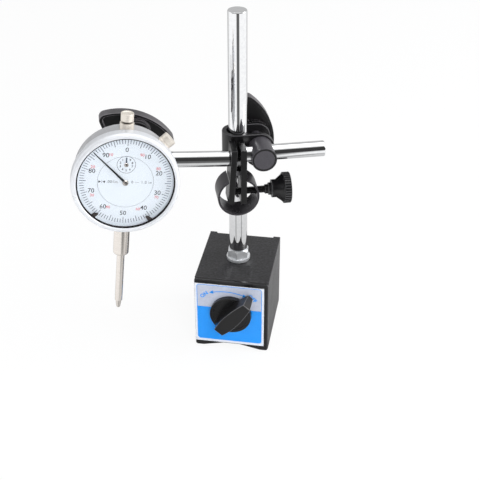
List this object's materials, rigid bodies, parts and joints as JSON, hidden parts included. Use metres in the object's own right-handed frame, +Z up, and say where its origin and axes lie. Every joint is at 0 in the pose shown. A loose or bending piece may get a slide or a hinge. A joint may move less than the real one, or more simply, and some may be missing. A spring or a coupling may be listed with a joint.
{
  "type": "dial indicator on magnetic base",
  "caption": "Plunger dial indicator held by a chrome column, clamped rods and a fine adjuster on a switchable magnetic base block with a vee groove.",
  "frame": {"origin": "middle of the base, on the surface that it stands on", "axes": "+Z up along the column, -Y towards the switch, +X along the width of the base to the right of the switch"},
  "size_m": [0.1422, 0.1194, 0.231],
  "materials": {
    "black_paint": "fine satin texture",
    "black_enamel": "gloss",
    "blue_print": "printed plate",
    "brass": "turned",
    "magnet": "sintered",
    "steel": "turned",
    "chrome": "polished",
    "zinc": "bright plated",
    "black_oxide": "satin black",
    "black_plastic": "moulded",
    "silver_lacquer": "pearl satin",
    "nickel": "bright turned",
    "dial_white": "printed dial",
    "hand_black": "satin",
    "crystal": "clear",
    "rubber": "matt"
  },
  "bodies": {
    "base": {"pole_left": "black_paint", "pole_right": "black_paint", "pole_spacer": "brass", "front_cover": "black_enamel", "label_plate": "blue_print", "rear_plug": "black_paint"},
    "switch": {"magnet_rotor": "magnet", "rotor_shaft": "steel", "switch_knob": "black_plastic"},
    "column": {"column": "chrome", "flange_nut": "zinc"},
    "clamp": {"clamp_strap": "black_oxide"},
    "eyebolt": {"clamp_eyebolt": "black_oxide"},
    "clamp_wing": {"clamp_wing": "black_plastic", "clamp_insert": "brass", "clamp_washer": "steel"},
    "arm": {"right_rod": "chrome", "right_leg": "black_oxide", "fulcrum_pin": "steel", "spring_ring": "black_oxide"},
    "thumb_screw": {"thumb_screw": "black_oxide"},
    "thumb_knob": {"thumb_knob": "black_plastic"},
    "fine_arm": {"left_leg": "black_oxide", "left_rod": "chrome"},
    "rod_clamp": {"rod_strap": "black_oxide"},
    "clevis": {"dial_clevis": "black_oxide", "lug_screw": "steel"},
    "dial_wing": {"dial_wing": "black_plastic", "dial_insert": "brass", "dial_washer": "steel"},
    "dial_case": {"case_body": "silver_lacquer", "back_cover": "silver_lacquer", "cover_screws": "steel", "stem": "nickel", "stem_bush": "brass", "top_bush": "nickel", "rear_plate": "brass", "middle_plate": "brass", "front_plate": "brass", "pillars": "brass", "inner_dial": "dial_white"},
    "bezel_lock": {"bezel_lock": "nickel"},
    "plunger": {"spindle": "nickel", "contact_point": "nickel", "stop_cap": "nickel", "guide_pin": "steel", "return_spring": "steel"},
    "rack_gear": {"rack_pinion": "steel", "drive_gear": "brass"},
    "centre": {"centre_pinion": "steel", "main_hand": "hand_black"},
    "takeup": {"takeup_gear": "brass", "counter_hand": "hand_black", "hairspring": "steel"},
    "bezel": {"bezel": "silver_lacquer", "crystal": "crystal", "gasket": "rubber", "dial_ring": "dial_white"},
    "limit_left": {"limit_hand_left": "hand_black"},
    "limit_right": {"limit_hand_right": "hand_black"}
  },
  "joints": [
    {"name": "switch_turn", "type": "hinge", "parent": "base", "child": "switch", "pos_m": [0, 0, 0.03], "axis": [0, -1, 0], "range_deg": [0, 80]},
    {"name": "column_turn", "type": "hinge", "parent": "base", "child": "column", "pos_m": [0, 0, 0.055], "axis": [0, 0, 1], "range_deg": [-170, 170]},
    {"name": "clamp_slide", "type": "slide", "parent": "column", "child": "clamp", "axis": [0, 0, 1], "range_m": [-0.03, 0.07]},
    {"name": "arm_tilt", "type": "hinge", "parent": "clamp", "child": "eyebolt", "pos_m": [0.01217, 0.00396, 0.143], "axis": [-0.309, 0.9511, 0], "range_deg": [-30, 30]},
    {"name": "clamp_wing_turn", "type": "hinge", "parent": "eyebolt", "child": "clamp_wing", "pos_m": [0.00896, 0.01385, 0.143], "axis": [-0.309, 0.9511, 0], "range_deg": [-60, 60]},
    {"name": "arm_slide", "type": "slide", "parent": "eyebolt", "child": "arm", "axis": [0.9511, 0.309, 0], "range_m": [-0.025, 0.002]},
    {"name": "fine_adjust", "type": "hinge", "parent": "arm", "child": "fine_arm", "pos_m": [0.00195, -0.01619, 0.13], "axis": [-0.309, 0.9511, 0], "range_deg": [-3.4, 2.5]},
    {"name": "screw_feed", "type": "slide", "parent": "arm", "child": "thumb_screw", "axis": [-0.9511, -0.309, 0], "range_m": [-0.0009, 0.0007]},
    {"name": "knob_turn", "type": "hinge", "parent": "thumb_screw", "child": "thumb_knob", "pos_m": [0.02111, -0.00996, 0.1167], "axis": [-0.9511, -0.309, 0], "range_deg": [-360, 270]},
    {"name": "dial_slide", "type": "slide", "parent": "fine_arm", "child": "rod_clamp", "axis": [-0.9492, -0.3084, 0.0628], "range_m": [-0.025, 0.007]},
    {"name": "dial_swing", "type": "hinge", "parent": "rod_clamp", "child": "clevis", "pos_m": [-0.05621, -0.03509, 0.1581], "axis": [-0.309, 0.9511, 0], "range_deg": [-60, 60]},
    {"name": "dial_wing_turn", "type": "hinge", "parent": "clevis", "child": "dial_wing", "pos_m": [-0.05912, -0.02615, 0.1581], "axis": [-0.309, 0.9511, 0], "range_deg": [-60, 60]},
    {"name": "dial_pitch", "type": "hinge", "parent": "clevis", "child": "dial_case", "pos_m": [-0.05115, -0.05069, 0.1581], "axis": [0.9451, 0.3071, -0.1115], "range_deg": [-20, 18]},
    {"name": "bezel_turn", "type": "hinge", "parent": "dial_case", "child": "bezel", "pos_m": [-0.0536, -0.07407, 0.15182], "axis": [0.3149, -0.9472, 0.0607], "continuous": true},
    {"name": "limit_left_turn", "type": "hinge", "parent": "bezel", "child": "limit_left", "pos_m": [-0.05265, -0.07692, 0.152], "axis": [0.3149, -0.9472, 0.0607], "range_deg": [-25, 25]},
    {"name": "limit_right_turn", "type": "hinge", "parent": "bezel", "child": "limit_right", "pos_m": [-0.05265, -0.07692, 0.152], "axis": [0.3149, -0.9472, 0.0607], "range_deg": [-25, 25]},
    {"name": "bezel_lock_turn", "type": "hinge", "parent": "dial_case", "child": "bezel_lock", "pos_m": [-0.03451, -0.05836, 0.16888], "axis": [0.7434, 0.2859, 0.6047], "range_deg": [-90, 90]},
    {"name": "plunger_slide", "type": "slide", "parent": "dial_case", "child": "plunger", "axis": [0.087, 0.0924, 0.9919], "range_m": [0, 0.0254], "stiffness_N_per_m": 30, "springref_m": -0.0167, "deforming": ["return_spring"]},
    {"name": "rack_gear_turn", "type": "hinge", "parent": "dial_case", "child": "rack_gear", "pos_m": [-0.0626, -0.06936, 0.14292], "axis": [0.3149, -0.9472, 0.0607], "range_deg": [-1, 361]},
    {"name": "centre_turn", "type": "hinge", "parent": "dial_case", "child": "centre", "pos_m": [-0.05454, -0.07123, 0.15164], "axis": [0.3149, -0.9472, 0.0607], "range_deg": [-3601, 1]},
    {"name": "takeup_turn", "type": "hinge", "parent": "dial_case", "child": "takeup", "pos_m": [-0.05359, -0.07022, 0.16255], "axis": [0.3149, -0.9472, 0.0607], "range_deg": [-1, 361], "deforming": ["hairspring"]}
  ],
  "couplings": [
    {"joint": "screw_feed", "follows": "fine_adjust", "m_per_rad": 0.0133},
    {"joint": "knob_turn", "follows": "fine_adjust", "ratio": 104.46},
    {"joint": "rack_gear_turn", "follows": "plunger_slide", "rad_per_m": 247.37},
    {"joint": "centre_turn", "follows": "plunger_slide", "rad_per_m": -2473.7},
    {"joint": "takeup_turn", "follows": "plunger_slide", "rad_per_m": 247.37}
  ]
}
